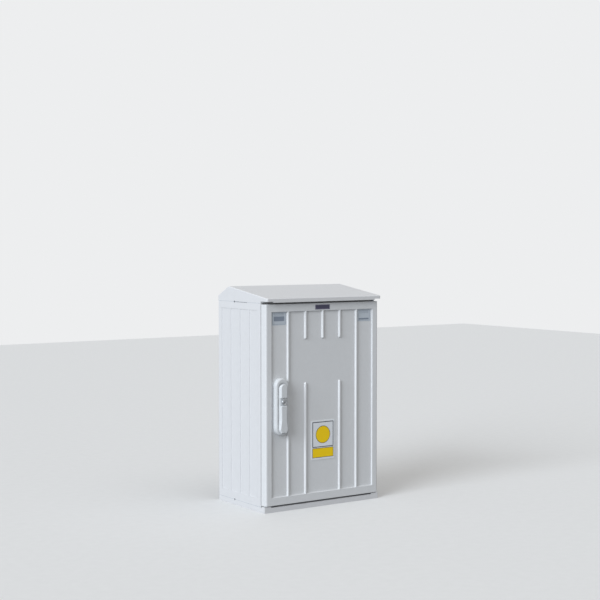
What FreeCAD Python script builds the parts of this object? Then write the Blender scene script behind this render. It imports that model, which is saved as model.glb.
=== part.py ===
"""Thermoset wall-standing cable enclosure: moulded shell, corner-pivoted door and swing handle.

Frame: origin at the middle of the base on the floor, +X to the right seen from the
front, +Y towards the back, +Z up. Lengths are millimetres.
"""
import FreeCAD, Part
import math
import os
import re

import Sketcher

# Driving sizes: alias, value, what it is
SIZES = [
    ("width", 400, "outer width of the shell and base"),
    ("depth", 250, "outer depth of the base"),
    ("seam_level", 590, "height of the seam between walls and roof"),
    ("base_rise", 15, "height of the base under the walls"),
    ("wall", 4, "thickness of the moulded walls"),
    ("porch", 20, "walls' front edge behind the base's front"),
    ("flange_setback", 7, "door frame behind the walls' front edge"),
    ("flange_reach", 28, "width of the door frame from the wall's inner face"),
    ("rail_rise", 26, "height of the door frame at the top and bottom"),
    ("seal_width", 8, "width of the door seal"),
    ("seal_inset", 18, "seal's outer edge in from the wall's inner face"),
    ("seal_thickness", 6, "seal in front of the door frame"),
    ("seal_land", 2, "seal's inner edge in from the rails' edges"),
    ("corner_round", 3, "radius of the shell's upright rear corners"),
    ("panel_land", 8.3, "land between two sunk panels in the walls"),
    ("panel_depth", 1.4, "depth of a sunk panel"),
    ("panel_foot", 22.5, "sunk panels above the wall's lower edge"),
    ("panel_head", 20.5, "sunk panels below the wall's upper edge"),
    ("panel_front", 17.5, "first side panel behind the wall's front edge"),
    ("panel_rear", 19.5, "last side panel in front of the rear face"),
    ("panel_side", 28, "outer rear panels in from the side faces"),
    ("rear_rise", 14.6, "upright edge of the roof at the rear"),
    ("ridge_rise", 43, "ridge above the seam"),
    ("ridge_back", 58, "ridge in front of the rear face"),
    ("rear_reach", 2, "roof's rear edge behind the rear face"),
    ("ridge_flat", 6, "width of the blunt ridge"),
    ("lip_reach", 13, "roof lip in front of the base"),
    ("lip_rise", 5, "underside of the roof over the door above the seam"),
    ("lip_height", 9, "height of the lip's front face at its ends"),
    ("lip_round", 5, "radius of the lip's corners"),
    ("drip_rise", 3, "height of the drip edge under the lip"),
    ("drip_side", 22, "drip edge in from the side faces"),
    ("ridge_round", 5, "radius along the ridge and rear edge"),
    ("rim_soft", 2.5, "radius round the rim of the roof's top"),
    ("base_floor", 4, "thickness of the base's foot flange"),
    ("base_rim", 8, "width of the rim that carries the walls"),
    ("cable_side", 45, "cable opening in from the side faces"),
    ("cable_end", 60, "cable opening in from the front and rear"),
    ("bolt_side", 28, "foundation bolts in from the side faces"),
    ("bolt_end", 43, "foundation bolts in from the front and rear"),
    ("bolt_hole", 11, "diameter of the foundation bolt holes"),
    ("porch_drop", 1, "front strip of the base below the wall seat"),
    ("pad_length", 22, "length of the corner pads under the door"),
    ("pad_rise", 3.4, "height of the corner pads on the strip"),
    ("insert_side", 50, "mounting inserts in from the side faces"),
    ("insert_foot", 65, "lower inserts above the wall's lower edge"),
    ("insert_head", 70, "upper inserts below the wall's upper edge"),
    ("boss_length", 18, "length of the mounting bosses"),
    ("boss_diameter", 18, "diameter of the mounting bosses"),
    ("insert_across_flats", 10, "width of the hexagonal brass inserts"),
    ("insert_bore", 6, "bore of the brass inserts"),
    ("insert_length", 14, "length of the brass inserts"),
    ("door_gap", 2, "gap between door and walls"),
    ("door_side", 0.5, "door's rear edge in from the side face"),
    ("door_foot", 4, "door's lower edge above the wall's lower edge"),
    ("door_head", 3, "door's upper edge below the seam"),
    ("door_thickness", 20, "depth of the door"),
    ("skin", 3.5, "thickness of the door's skin"),
    ("door_round", 5.5, "radius of the door's upright front edges"),
    ("door_draft", 3, "door's front narrower than its rear, at each side"),
    ("door_chamfer", 0.8, "chamfer of the door's level front edges"),
    ("field_side", 21.5, "sunk field in from the door's rear edge"),
    ("field_foot", 22.5, "sunk field above the door's lower edge"),
    ("field_head", 21.5, "sunk field below the door's upper edge"),
    ("field_depth", 4.5, "depth of the sunk field"),
    ("field_draft", 14, "slope of the field's edges in degrees"),
    ("rib_side", 80, "outer ribs in from the side faces"),
    ("rib_foot", 9, "width of a rib at its foot"),
    ("rib_slope", 33, "slope of the ribs' sides in degrees"),
    ("rib_upper_length", 81.2, "length of the short upper ribs"),
    ("rib_lower_length", 320.8, "length of the short lower ribs"),
    ("seal_rib", 4, "thickness of the door's sealing rib"),
    ("seal_clear", 0.4, "gap between sealing rib and seal"),
    ("pivot_side", 13, "pivot axis in from the side face"),
    ("pivot_back", 8, "pivot axis behind the base's front"),
    ("pin_diameter", 6, "diameter of the pivot pins"),
    ("pin_grip", 11, "pivot pin's length inside the door"),
    ("pin_seat", 5, "pivot pin's length inside its seat"),
    ("pin_clear", 0.06, "radial clearance of turning pins"),
    ("bush_diameter", 10, "outer diameter of the pivot bushes"),
    ("bush_length", 12, "length of the pivot bushes"),
    ("bevel_side", 6.5, "relief of the hinge edge across"),
    ("bevel_back", 11, "relief of the hinge edge front to back"),
    ("handle_side", 52, "middle of the handle in from the left face"),
    ("handle_level", 298, "middle of the handle base"),
    ("handle_length", 162, "length of the handle base"),
    ("handle_width", 44, "width of the handle base"),
    ("handle_rise", 16, "height of the handle base on the field"),
    ("handle_round", 5, "radius of the handle base's front edge"),
    ("trough_width", 28, "width of the shallow trough round the lever"),
    ("trough_depth", 1.5, "depth of the trough"),
    ("trough_foot", 6, "trough's lower end above the handle base's lower end"),
    ("hub_inset", 26, "turning axis below the handle base's upper end"),
    ("hub_diameter", 16, "diameter of the hub"),
    ("hub_clear", 0.1, "radial clearance of the hub"),
    ("tail_diameter", 10, "diameter of the hub's tail in the lock case"),
    ("tail_reach", 12, "hub's tail behind the door's skin"),
    ("lever_gap", 0.5, "gap between lever and handle base"),
    ("lever_thickness", 8.5, "thickness of the lever"),
    ("lever_pivot", 3.6, "tilting axis in front of the lever's rear face"),
    ("lever_width", 20, "width of the lever's upper part"),
    ("lever_neck", 12, "height over which the lever narrows below the window"),
    ("lever_waist", 18.5, "width of the lever's lower part"),
    ("lever_flare", 25, "width of the lever's grip end"),
    ("lever_tail", 8, "lever's lower end above the handle base's lower end"),
    ("lever_shoulder", 35, "start of the flare above the lever's lower end"),
    ("lever_cheek", 10, "widest part above the lever's lower end"),
    ("lever_toe", 4, "lever's lower corners in from its widest part"),
    ("lever_notch", 2, "depth of the notch in the lever's lower end"),
    ("head_share", 0.48, "radius of the lever's head as a share of its width"),
    ("lever_round", 2, "radius of the lever's front edges"),
    ("heel_rise", 1.3, "start of the lever's heel relief above the turning axis"),
    ("heel_reach", 5.1, "depth of the heel relief at the lever's upper end"),
    ("knuckle_width", 9, "width of the hub's knuckle"),
    ("knuckle_radius", 3, "radius of the hub's knuckle"),
    ("knuckle_clear", 0.5, "clearance round the knuckle"),
    ("cross_pin", 2.6, "diameter of the lever's cross pin"),
    ("window_drop", 39.8, "middle of the lock's window below the turning axis"),
    ("window_height", 21.6, "height of the window across the lever"),
    ("window_floor", 3, "lever left behind the window"),
    ("window_round", 3, "radius of the lever's corners at the window"),
    ("barrel_diameter", 17, "diameter of the lock barrel"),
    ("barrel_rise", 6, "length of the lock barrel"),
    ("plug_diameter", 10, "diameter of the turning plug"),
    ("plug_rise", 6.6, "length of the turning plug"),
    ("plug_seat", 1, "plug's lower end above the window's floor"),
    ("case_width", 24, "width of the lock case"),
    ("case_depth", 38, "depth of the lock case behind the skin"),
    ("case_height", 90, "height of the lock case"),
    ("rod_diameter", 8, "diameter of the lock rods"),
    ("rod_back", 31, "rods' axis behind the door's skin"),
    ("rod_head", 26, "upper rod's end below the door's upper edge, drawn in"),
    ("rod_foot", 27.5, "lower rod's end above the door's lower edge, drawn in"),
    ("guide_inset", 39, "rod guides in from the rods' ends"),
    ("guide_width", 18, "width of a rod guide"),
    ("guide_height", 14, "height of a rod guide"),
    ("guide_depth", 38, "depth of a rod guide behind the skin"),
    ("rod_clear", 0.1, "radial clearance of the rods"),
]

# Places that many pieces share, as formulas of the driving sizes
PLACES = [
    ("ridge_level", "seam_level + ridge_rise", "ridge"),
    ("lip_low", "seam_level + lip_rise", "underside of the roof over the door"),
    ("lip_high", "lip_low + lip_height", "front edge of the roof's top face"),
    ("panel_low", "base_rise + panel_foot", "lower edge of the sunk panels"),
    ("panel_high", "seam_level - panel_head", "upper edge of the sunk panels"),
    ("side_panel", "(depth - porch - panel_front - panel_rear - 3 * panel_land) / 4",
     "width of a side panel"),
    ("rear_panel", "(width - 2 * panel_side - 6 * panel_land) / 7", "width of a rear panel"),
    ("insert_low", "base_rise + insert_foot", "lower inserts"),
    ("insert_high", "seam_level - insert_head", "upper inserts"),
    ("insert_x", "width / 2 - insert_side", "inserts"),
    ("bolt_x", "width / 2 - bolt_side", "foundation bolts"),
    ("bolt_y", "depth / 2 - bolt_end", "foundation bolts"),
    ("door_low", "base_rise + door_foot", "door's lower edge"),
    ("door_high", "seam_level - door_head", "door's upper edge"),
    ("field_low", "door_low + field_foot", "field's lower edge"),
    ("field_high", "door_high - field_head", "field's upper edge"),
    ("rib_pitch", "(width / 2 - rib_side) / 2", "spacing of the ribs"),
    ("handle_low", "handle_level - handle_length / 2", "handle base's lower end"),
    ("handle_high", "handle_level + handle_length / 2", "handle base's upper end"),
    ("hub_level", "handle_high - hub_inset", "handle's turning axis"),
    ("lever_low", "handle_low + lever_tail", "lever's lower end"),
    ("window_mid", "hub_level - window_drop", "middle of the lock's window"),
    ("window_low", "window_mid - window_height / 2", "window's lower edge"),
    ("window_high", "window_mid + window_height / 2", "window's upper edge"),
    ("rod_top", "door_high - rod_head", "upper rod's upper end"),
    ("rod_bottom", "door_low + rod_foot", "lower rod's lower end"),
    ("guide_high", "rod_top - guide_inset", "upper rod guide"),
    ("guide_low", "rod_bottom + guide_inset", "lower rod guide"),
    ("front", "-depth / 2", "front of the base"),
    ("rear", "depth / 2", "rear face"),
    ("side", "width / 2", "right face"),
    ("inner_side", "side - wall", "right wall's inner face"),
    ("roof_rear", "rear + rear_reach", "roof's rear face"),
    ("lip_front", "front - lip_reach", "lip's front face"),
    ("wall_front", "front + porch", "walls' front edge"),
    ("flange_front", "wall_front + flange_setback", "door frame's front face"),
    ("door_rear", "wall_front - door_gap", "door's rear edge"),
    ("door_front", "door_rear - door_thickness", "door's front face"),
    ("door_edge", "side - door_side", "door's right rear edge"),
    ("door_nose", "door_edge - door_draft", "door's right front edge"),
    ("field_front", "door_front + field_depth", "sunk field's face"),
    ("field_edge", "door_edge - field_side", "sunk field's right edge"),
    ("skin_rear", "field_front + skin", "rear of the field's skin"),
    ("frame_rear", "door_front + skin", "rear of the door frame's skin"),
    ("pivot_x", "side - pivot_side", "pivot axis"),
    ("pivot_y", "front + pivot_back", "pivot axis"),
    ("seal_edge", "inner_side - seal_inset", "seal's outer edge"),
    ("seal_low", "base_rise + rail_rise - seal_width - seal_land", "seal's lower outer edge"),
    ("seal_high", "seam_level - rail_rise + seal_width + seal_land", "seal's upper outer edge"),
    ("handle_x", "handle_side - side", "handle's middle"),
    ("handle_front", "field_front - handle_rise", "handle base's front"),
    ("trough_floor", "handle_front + trough_depth", "floor of the trough"),
    ("lever_rear", "handle_front - lever_gap", "lever's rear face"),
    ("lever_front", "lever_rear - lever_thickness", "lever's front face"),
    ("lever_axis", "lever_rear - lever_pivot", "lever's tilting axis"),
    ("window_rear", "lever_rear - window_floor", "floor of the lever's window"),
    ("rod_y", "skin_rear + rod_back", "rods' axis"),
    ("strip_level", "base_rise - porch_drop", "top of the base's front strip"),
    ("pad_level", "strip_level + pad_rise", "top of the corner pads"),
    ("rear_slope",
     "(ridge_level - seam_level - rear_rise) / (rear_reach + ridge_back - ridge_flat / 2)",
     "rise of the roof's rear slope"),
    ("front_slope", "(ridge_level - lip_high) / (depth - ridge_back - ridge_flat / 2 + lip_reach)",
     "rise of the roof's front slope"),
]

HALF_TURN = math.pi
SAME_PLACE = 0.01
LEAST_CUT = 1

document = FreeCAD.newDocument("ThermosetEnclosure")
sheet = document.addObject("Spreadsheet::Sheet", "Sizes")
ALIASES = {name for name, _, _ in SIZES + PLACES}
pieces = []


def bound(expression):
    """Write an expression of plain aliases in the form that a property takes."""
    def cell(match):
        word = match.group()
        return "Sizes." + word if word in ALIASES else word
    return re.sub(r"[a-z_]+", cell, expression)


def size(expression):
    """The value of an expression of aliases."""
    return float(sheet.evalExpression(re.sub(r"Sizes\.", "", bound(expression))))


def fill_sheet():
    """Put the driving sizes and the shared places in the sheet."""
    for row, (alias, number, note) in enumerate(SIZES, start=1):
        sheet.set(f"A{row}", str(number))
        sheet.setAlias(f"A{row}", alias)
        sheet.set(f"B{row}", note)
    for row, (alias, formula, note) in enumerate(PLACES, start=len(SIZES) + 1):
        sheet.set(f"A{row}", "=" + formula)
        sheet.setAlias(f"A{row}", alias)
        sheet.set(f"B{row}", note)
        document.recompute()
    document.recompute()


def new_body(label):
    """A body that becomes one node."""
    body = document.addObject("PartDesign::Body", label)
    body.Label = label
    pieces.append(body)
    return body


def sketch_on(body, name, role, offset="0"):
    """A sketch on one of the body's origin planes, moved along the plane's normal."""
    sketch = body.newObject("Sketcher::SketchObject", name)
    plane = next(face for face in body.Origin.OriginFeatures if face.Role == role)
    sketch.AttachmentSupport = [(plane, "")]
    sketch.MapMode = "FlatFace"
    sketch.setExpression("AttachmentOffset.Base.z", bound(offset))
    return sketch


def pin(sketch, index, point, across, up):
    """Hold a point of a sketch at two distances from its origin."""
    origin = -1
    for kind, expression in (("DistanceX", across), ("DistanceY", up)):
        number = sketch.addConstraint(
            Sketcher.Constraint(kind, origin, 1, index, point, size(expression)))
        sketch.setExpression(f"Constraints[{number}]", bound(expression))


def polygon(sketch, corners):
    """A closed outline of straight lines through corners given as expressions."""
    places = [FreeCAD.Vector(size(across), size(up), 0) for across, up in corners]
    first = sketch.GeometryCount
    count = len(corners)
    for index in range(count):
        line = Part.LineSegment(places[index], places[(index + 1) % count])
        sketch.addGeometry(line, False)
    for index in range(count):
        following = first + (index + 1) % count
        sketch.addConstraint(Sketcher.Constraint("Coincident", first + index, 2, following, 1))
        pin(sketch, first + index, 1, *corners[index])


def rectangle(sketch, left, right, low, high):
    """An upright rectangle."""
    polygon(sketch, [(left, low), (right, low), (right, high), (left, high)])


def circle(sketch, across, up, radius):
    """A circle with its centre and radius given as expressions."""
    centre = FreeCAD.Vector(size(across), size(up), 0)
    index = sketch.addGeometry(Part.Circle(centre, FreeCAD.Vector(0, 0, 1), size(radius)), False)
    pin(sketch, index, 3, across, up)
    number = sketch.addConstraint(Sketcher.Constraint("Radius", index, size(radius)))
    sketch.setExpression(f"Constraints[{number}]", bound(radius))


def slot(sketch, across, low, high, radius):
    """An upright slot with round ends; low and high are its furthest points."""
    bottom = f"{low} + ({radius})"
    top = f"{high} - ({radius})"
    x, r = size(across), size(radius)
    low_centre, high_centre = FreeCAD.Vector(x, size(bottom), 0), FreeCAD.Vector(x, size(top), 0)
    axis = FreeCAD.Vector(0, 0, 1)
    reach = FreeCAD.Vector(r, 0, 0)
    arc_high = sketch.addGeometry(
        Part.ArcOfCircle(Part.Circle(high_centre, axis, r), 0, HALF_TURN), False)
    line_left = sketch.addGeometry(
        Part.LineSegment(high_centre - reach, low_centre - reach), False)
    arc_low = sketch.addGeometry(
        Part.ArcOfCircle(Part.Circle(low_centre, axis, r), HALF_TURN, 2 * HALF_TURN), False)
    line_right = sketch.addGeometry(
        Part.LineSegment(low_centre + reach, high_centre + reach), False)
    round_trip = [arc_high, line_left, arc_low, line_right]
    for index, edge in enumerate(round_trip):
        following = round_trip[(index + 1) % len(round_trip)]
        sketch.addConstraint(Sketcher.Constraint("Tangent", edge, 2, following, 1))
    sketch.addConstraint(Sketcher.Constraint("Equal", arc_high, arc_low))
    pin(sketch, arc_high, 3, across, top)
    pin(sketch, arc_low, 3, across, bottom)
    number = sketch.addConstraint(Sketcher.Constraint("Radius", arc_high, r))
    sketch.setExpression(f"Constraints[{number}]", bound(radius))


def hexagon(sketch, across, up, flats):
    """A hexagon with two upright sides, given the width between them."""
    half = f"({flats}) / 2"
    step = f"({flats}) / 2 / sqrt(3)"
    polygon(sketch, [
        (f"{across} - {half}", f"{up} - {step}"),
        (across, f"{up} - 2 * {step}"),
        (f"{across} + {half}", f"{up} - {step}"),
        (f"{across} + {half}", f"{up} + {step}"),
        (across, f"{up} + 2 * {step}"),
        (f"{across} - {half}", f"{up} + {step}"),
    ])


def rib_outline(sketch, across, low, high, radius, round_end):
    """A straight rib with one round end: round_end is low, high or none."""
    if round_end == "none":
        rectangle(sketch, f"{across} - {radius}", f"{across} + {radius}", low, high)
        return
    upwards = round_end == "high"
    square = low if upwards else high
    centre = f"{high} - {radius}" if upwards else f"{low} + {radius}"
    x, r, middle, foot = size(across), size(radius), size(centre), size(square)
    reach = FreeCAD.Vector(r, 0, 0)
    middle_point = FreeCAD.Vector(x, middle, 0)
    foot_point = FreeCAD.Vector(x, foot, 0)
    tip = Part.Circle(middle_point, FreeCAD.Vector(0, 0, 1), r)
    if upwards:
        near_side, far_side = reach, -reach
        start = 0
    else:
        near_side, far_side = -reach, reach
        start = HALF_TURN
    arc = sketch.addGeometry(Part.ArcOfCircle(tip, start, start + HALF_TURN), False)
    down = sketch.addGeometry(
        Part.LineSegment(middle_point + far_side, foot_point + far_side), False)
    end = sketch.addGeometry(
        Part.LineSegment(foot_point + far_side, foot_point + near_side), False)
    back = sketch.addGeometry(
        Part.LineSegment(foot_point + near_side, middle_point + near_side), False)
    sketch.addConstraint(Sketcher.Constraint("Tangent", arc, 2, down, 1))
    sketch.addConstraint(Sketcher.Constraint("Coincident", down, 2, end, 1))
    sketch.addConstraint(Sketcher.Constraint("Coincident", end, 2, back, 1))
    sketch.addConstraint(Sketcher.Constraint("Tangent", back, 2, arc, 1))
    sketch.addConstraint(Sketcher.Constraint("Horizontal", end))
    pin(sketch, arc, 3, across, centre)
    number = sketch.addConstraint(Sketcher.Constraint("Radius", arc, r))
    sketch.setExpression(f"Constraints[{number}]", bound(radius))
    number = sketch.addConstraint(Sketcher.Constraint("DistanceY", -1, 1, end, 1, foot))
    sketch.setExpression(f"Constraints[{number}]", bound(square))


def pad(body, sketch, length, midplane=False, taper=None, backwards=False):
    """Add the sketch's area along its normal."""
    feature = body.newObject("PartDesign::Pad", sketch.Name + "_pad")
    feature.Profile = sketch
    feature.setExpression("Length", bound(length))
    feature.Midplane = midplane
    feature.Reversed = backwards
    if taper:
        feature.setExpression("TaperAngle", bound(taper))
    sketch.Visibility = False
    document.recompute()
    return feature


def pocket(body, sketch, length, midplane=False, taper=None, forwards=False):
    """Cut the sketch's area, against its normal or, when forwards, along it."""
    before = body.Shape.Volume
    feature = body.newObject("PartDesign::Pocket", sketch.Name + "_pocket")
    feature.Profile = sketch
    feature.setExpression("Length", bound(length))
    feature.Midplane = midplane
    feature.Reversed = forwards
    if taper:
        feature.setExpression("TaperAngle", bound(taper))
    document.recompute()
    if body.Shape.Volume > before - LEAST_CUT:
        raise RuntimeError(f"{feature.Name} cuts nothing")
    return feature


def edges_where(body, test):
    """Names of the body's edges whose two ends pass the test."""
    names = []
    for number, edge in enumerate(body.Shape.Edges, start=1):
        ends = [vertex.Point for vertex in edge.Vertexes]
        if len(ends) == 2 and test(*ends):
            names.append(f"Edge{number}")
    return names


def fillet(body, name, test, radius):
    """Round the edges that pass the test."""
    base = (body.Tip, edges_where(body, test))
    feature = body.newObject("PartDesign::Fillet", name)
    feature.Base = base
    feature.setExpression("Radius", bound(radius))
    document.recompute()
    body.Tip = feature
    return feature


def chamfer(body, name, test, width):
    """Take the sharp corner off the edges that pass the test."""
    base = (body.Tip, edges_where(body, test))
    feature = body.newObject("PartDesign::Chamfer", name)
    feature.Base = base
    feature.setExpression("Size", bound(width))
    document.recompute()
    body.Tip = feature
    return feature


def near(left, right):
    """Whether two lengths are the same place."""
    return abs(left - right) < SAME_PLACE


def round_upright_edges(body, name, across, along, radius):
    """Round the upright edges at two mirrored places of the plan."""
    x, y = size(across), size(along)
    fillet(body, name,
           lambda a, b: near(a.y, y) and near(b.y, y) and near(abs(a.x), x) and near(a.x, b.x),
           radius)


def box(name, left, right, front, rear, low, high):
    """A block between six planes given as expressions."""
    block = document.addObject("Part::Box", name)
    block.setExpression("Length", bound(f"({right}) - ({left})"))
    block.setExpression("Width", bound(f"({rear}) - ({front})"))
    block.setExpression("Height", bound(f"({high}) - ({low})"))
    for axis, expression in zip("xyz", (left, front, low)):
        block.setExpression(f"Placement.Base.{axis}", bound(expression))
    return block


def rod(name, radius, length, across, along, up, direction="Z"):
    """A round bar from a point, along one axis."""
    bar = document.addObject("Part::Cylinder", name)
    bar.setExpression("Radius", bound(radius))
    bar.setExpression("Height", bound(length))
    turns = {
        "Z": FreeCAD.Rotation(),
        "X": FreeCAD.Rotation(FreeCAD.Vector(0, 1, 0), 90),
        "Y": FreeCAD.Rotation(FreeCAD.Vector(1, 0, 0), -90),
    }
    bar.Placement.Rotation = turns[direction]
    for axis, expression in zip("xyz", (across, along, up)):
        bar.setExpression(f"Placement.Base.{axis}", bound(expression))
    return bar


def cut(label, base, tool):
    """One solid less another, kept as a node."""
    result = document.addObject("Part::Cut", label)
    result.Label = label
    result.Base = base
    result.Tool = tool
    pieces.append(result)
    return result


def keep(label, piece):
    """Make an object a node."""
    piece.Label = label
    pieces.append(piece)
    return piece


def make_roof():
    """Hollow pitched roof with its ridge near the rear and a lip over the door."""
    body = new_body("roof")
    profile = sketch_on(body, "roof_profile", "YZ_Plane")
    polygon(profile, [
        ("roof_rear", "seam_level"),
        ("roof_rear", "seam_level + rear_rise"),
        ("rear - ridge_back + ridge_flat / 2", "ridge_level"),
        ("rear - ridge_back - ridge_flat / 2", "ridge_level"),
        ("lip_front", "lip_high"),
        ("lip_front", "lip_low"),
        ("wall_front", "lip_low"),
        ("wall_front", "seam_level"),
    ])
    pad(body, profile, "width", midplane=True)
    round_upright_edges(body, "roof_rear_corners", "side", "roof_rear", "corner_round")
    round_upright_edges(body, "lip_corners", "side", "lip_front", "lip_round")
    ridge = size("ridge_level")
    fillet(body, "ridge_edges",
           lambda a, b: near(a.z, ridge) and near(b.z, ridge) and not near(a.x, b.x),
           "ridge_round")
    lowest = size("seam_level + rear_rise") - SAME_PLACE
    inner = size("side - lip_round") - SAME_PLACE
    foremost = size("lip_front + lip_round")
    rearmost = size("rear - wall")

    def on_rim(a, b):
        """Whether an edge of the roof's top runs along its rim."""
        across_ridge = near(a.x, -b.x) and foremost < a.y < rearmost
        at_side = abs(a.x) > inner and abs(b.x) > inner
        return min(a.z, b.z) > lowest and at_side and not across_ridge

    fillet(body, "roof_rim", on_rim, "rim_soft")
    inside = sketch_on(body, "roof_inside", "YZ_Plane")
    rear_line = ("seam_level + rear_rise + rear_reach * rear_slope"
                 " - wall * sqrt(1 + rear_slope ^ 2)")
    front_line = "lip_high - wall * sqrt(1 + front_slope ^ 2)"
    ceiling = "ridge_level - wall"
    polygon(inside, [
        ("rear - wall", "seam_level"),
        ("rear - wall", f"{rear_line} + wall * rear_slope"),
        (f"rear - ({ceiling} - ({rear_line})) / rear_slope", ceiling),
        (f"lip_front + ({ceiling} - ({front_line})) / front_slope", ceiling),
        ("lip_front + wall", f"{front_line} + wall * front_slope"),
        ("lip_front + wall", "lip_low + wall"),
        ("wall_front + wall", "lip_low + wall"),
        ("wall_front + wall", "seam_level"),
    ])
    pocket(body, inside, "width - 2 * wall", midplane=True)
    drip = sketch_on(body, "drip_edge", "XY_Plane", "lip_low")
    rectangle(drip, "-side + drip_side", "side - drip_side", "lip_front", "lip_front + wall")
    pad(body, drip, "drip_rise", backwards=True)
    seat = sketch_on(body, "upper_pin_seat", "XY_Plane", "lip_low")
    circle(seat, "pivot_x", "pivot_y", "pin_diameter / 2")
    pocket(body, seat, "wall", forwards=True)
    return body


def make_side_wall(label, sign):
    """Side wall with its door frame flange and four sunk panels."""
    body = new_body(label)
    plan = sketch_on(body, label + "_plan", "XY_Plane", "base_rise")
    outline = [
        ("side", "wall_front"),
        ("side", "rear"),
        ("inner_side", "rear"),
        ("inner_side", "flange_front + wall"),
        ("inner_side - flange_reach", "flange_front + wall"),
        ("inner_side - flange_reach", "flange_front"),
        ("inner_side", "flange_front"),
        ("inner_side", "wall_front"),
    ]
    polygon(plan, [(f"{sign} * ({across})", along) for across, along in outline])
    pad(body, plan, "seam_level - base_rise")
    round_upright_edges(body, label + "_rear_corner", "side", "rear", "corner_round")
    for number in range(4):
        panel = sketch_on(body, f"{label}_panel_{number}", "YZ_Plane", f"{sign} * side")
        start = f"wall_front + panel_front + {number} * (side_panel + panel_land)"
        rectangle(panel, start, f"{start} + side_panel", "panel_low", "panel_high")
        pocket(body, panel, "panel_depth", forwards=sign < 0)
    return body


def make_rear_wall():
    """Rear wall between the side walls, with sunk panels and mounting bosses."""
    body = new_body("rear_wall")
    plan = sketch_on(body, "rear_plan", "XY_Plane", "base_rise")
    rectangle(plan, "-inner_side", "inner_side", "rear - wall", "rear")
    pad(body, plan, "seam_level - base_rise")
    for number in range(-3, 4):
        panel = sketch_on(body, f"rear_panel_{number + 3}", "XZ_Plane", "-rear")
        middle = f"{number} * (rear_panel + panel_land)"
        rectangle(panel, f"{middle} - rear_panel / 2", f"{middle} + rear_panel / 2",
                  "panel_low", "panel_high")
        pocket(body, panel, "panel_depth", forwards=True)
    bosses = sketch_on(body, "rear_bosses", "XZ_Plane", "wall - rear")
    for across, up in insert_places():
        circle(bosses, across, up, "boss_diameter / 2")
    pad(body, bosses, "boss_length")
    holes = sketch_on(body, "boss_holes", "XZ_Plane", "wall - rear + boss_length")
    for across, up in insert_places():
        hexagon(holes, across, up, "insert_across_flats")
    pocket(body, holes, "insert_length")
    return body


def insert_places():
    """Middles of the four mounting inserts."""
    return [
        (f"{sign} * insert_x", level)
        for sign in (-1, 1) for level in ("insert_low", "insert_high")
    ]


def make_inserts():
    """Brass inserts flush with the ends of the mounting bosses."""
    body = new_body("mounting_inserts")
    rings = sketch_on(body, "insert_rings", "XZ_Plane", "wall - rear + boss_length")
    for across, up in insert_places():
        hexagon(rings, across, up, "insert_across_flats")
        circle(rings, across, up, "insert_bore / 2")
    body.AllowCompound = True
    pad(body, rings, "insert_length", backwards=True)
    return body


def make_base():
    """Base frame: foot flange with bolt holes and cable opening, rim, strip and pads."""
    body = new_body("base_tray")
    block = sketch_on(body, "base_outline", "XY_Plane")
    rectangle(block, "-side", "side", "front", "rear")
    pad(body, block, "base_rise")
    round_upright_edges(body, "base_rear_corners", "side", "rear", "corner_round")
    tray = sketch_on(body, "base_inside", "XY_Plane", "base_rise")
    rectangle(tray, "-side + base_rim", "side - base_rim",
              "flange_front + wall", "rear - base_rim")
    pocket(body, tray, "base_rise - base_floor")
    holes = sketch_on(body, "base_holes", "XY_Plane", "base_floor")
    rectangle(holes, "-side + cable_side", "side - cable_side",
              "front + cable_end", "rear - cable_end")
    for across in (-1, 1):
        for along in (-1, 1):
            circle(holes, f"{across} * bolt_x", f"{along} * bolt_y", "bolt_hole / 2")
    pocket(body, holes, "base_floor")
    strip = sketch_on(body, "base_strip", "XY_Plane", "base_rise")
    rectangle(strip, "-side", "side", "front", "wall_front")
    pocket(body, strip, "porch_drop")
    pads = sketch_on(body, "corner_pads", "XY_Plane", "strip_level")
    for sign in (-1, 1):
        rectangle(pads, f"{sign} * side", f"{sign} * (side - pad_length)", "front",
                  "front + 2 * pivot_back")
    pad(body, pads, "pad_rise")
    seat = sketch_on(body, "lower_pin_seat", "XY_Plane", "pad_level")
    circle(seat, "pivot_x", "pivot_y", "pin_diameter / 2")
    pocket(body, seat, "pin_seat")
    return body


def make_rails():
    """Upper and lower members of the door frame, between the side walls' flanges."""
    for label, low, high in (
            ("bottom_rail", "base_rise", "base_rise + rail_rise"),
            ("top_rail", "seam_level - rail_rise", "seam_level")):
        rail = box(label, "flange_reach - inner_side", "inner_side - flange_reach",
                   "flange_front", "flange_front + wall", low, high)
        keep(label, rail)


def make_seal():
    """Ring of sealing strip on the door frame."""
    outer = box("seal_outer", "-seal_edge", "seal_edge", "flange_front - seal_thickness",
                "flange_front", "seal_low", "seal_high")
    inner = box("seal_inner", "-seal_edge + seal_width", "seal_edge - seal_width",
                "flange_front - seal_thickness", "flange_front",
                "seal_low + seal_width", "seal_high - seal_width")
    cut("door_seal", outer, inner)


def make_pivots():
    """Pivot pins in the base pad and the roof's underside, and bushes in the door."""
    keep("pivot_pin_lower", rod("lower_pin", "pin_diameter / 2",
                                "pin_seat + door_low - pad_level + pin_grip",
                                "pivot_x", "pivot_y", "pad_level - pin_seat"))
    keep("pivot_pin_upper", rod("upper_pin", "pin_diameter / 2",
                                "pin_grip + lip_low - door_high + wall",
                                "pivot_x", "pivot_y", "door_high - pin_grip"))
    for label, low in (("pivot_bush_lower", "door_low"),
                       ("pivot_bush_upper", "door_high - bush_length")):
        sleeve = rod(label + "_outside", "bush_diameter / 2", "bush_length",
                     "pivot_x", "pivot_y", low)
        bore = rod(label + "_bore", "pin_diameter / 2 + pin_clear", "bush_length",
                   "pivot_x", "pivot_y", low)
        cut(label, sleeve, bore)


def add_rib(body, name, across, low, high, round_end):
    """One tapered rib on the sunk field, with its free end round."""
    outline = sketch_on(body, name, "XZ_Plane", "-field_front")
    rib_outline(outline, across, low, high, "rib_foot / 2", round_end)
    pad(body, outline, "field_depth", taper="-rib_slope")


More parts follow.
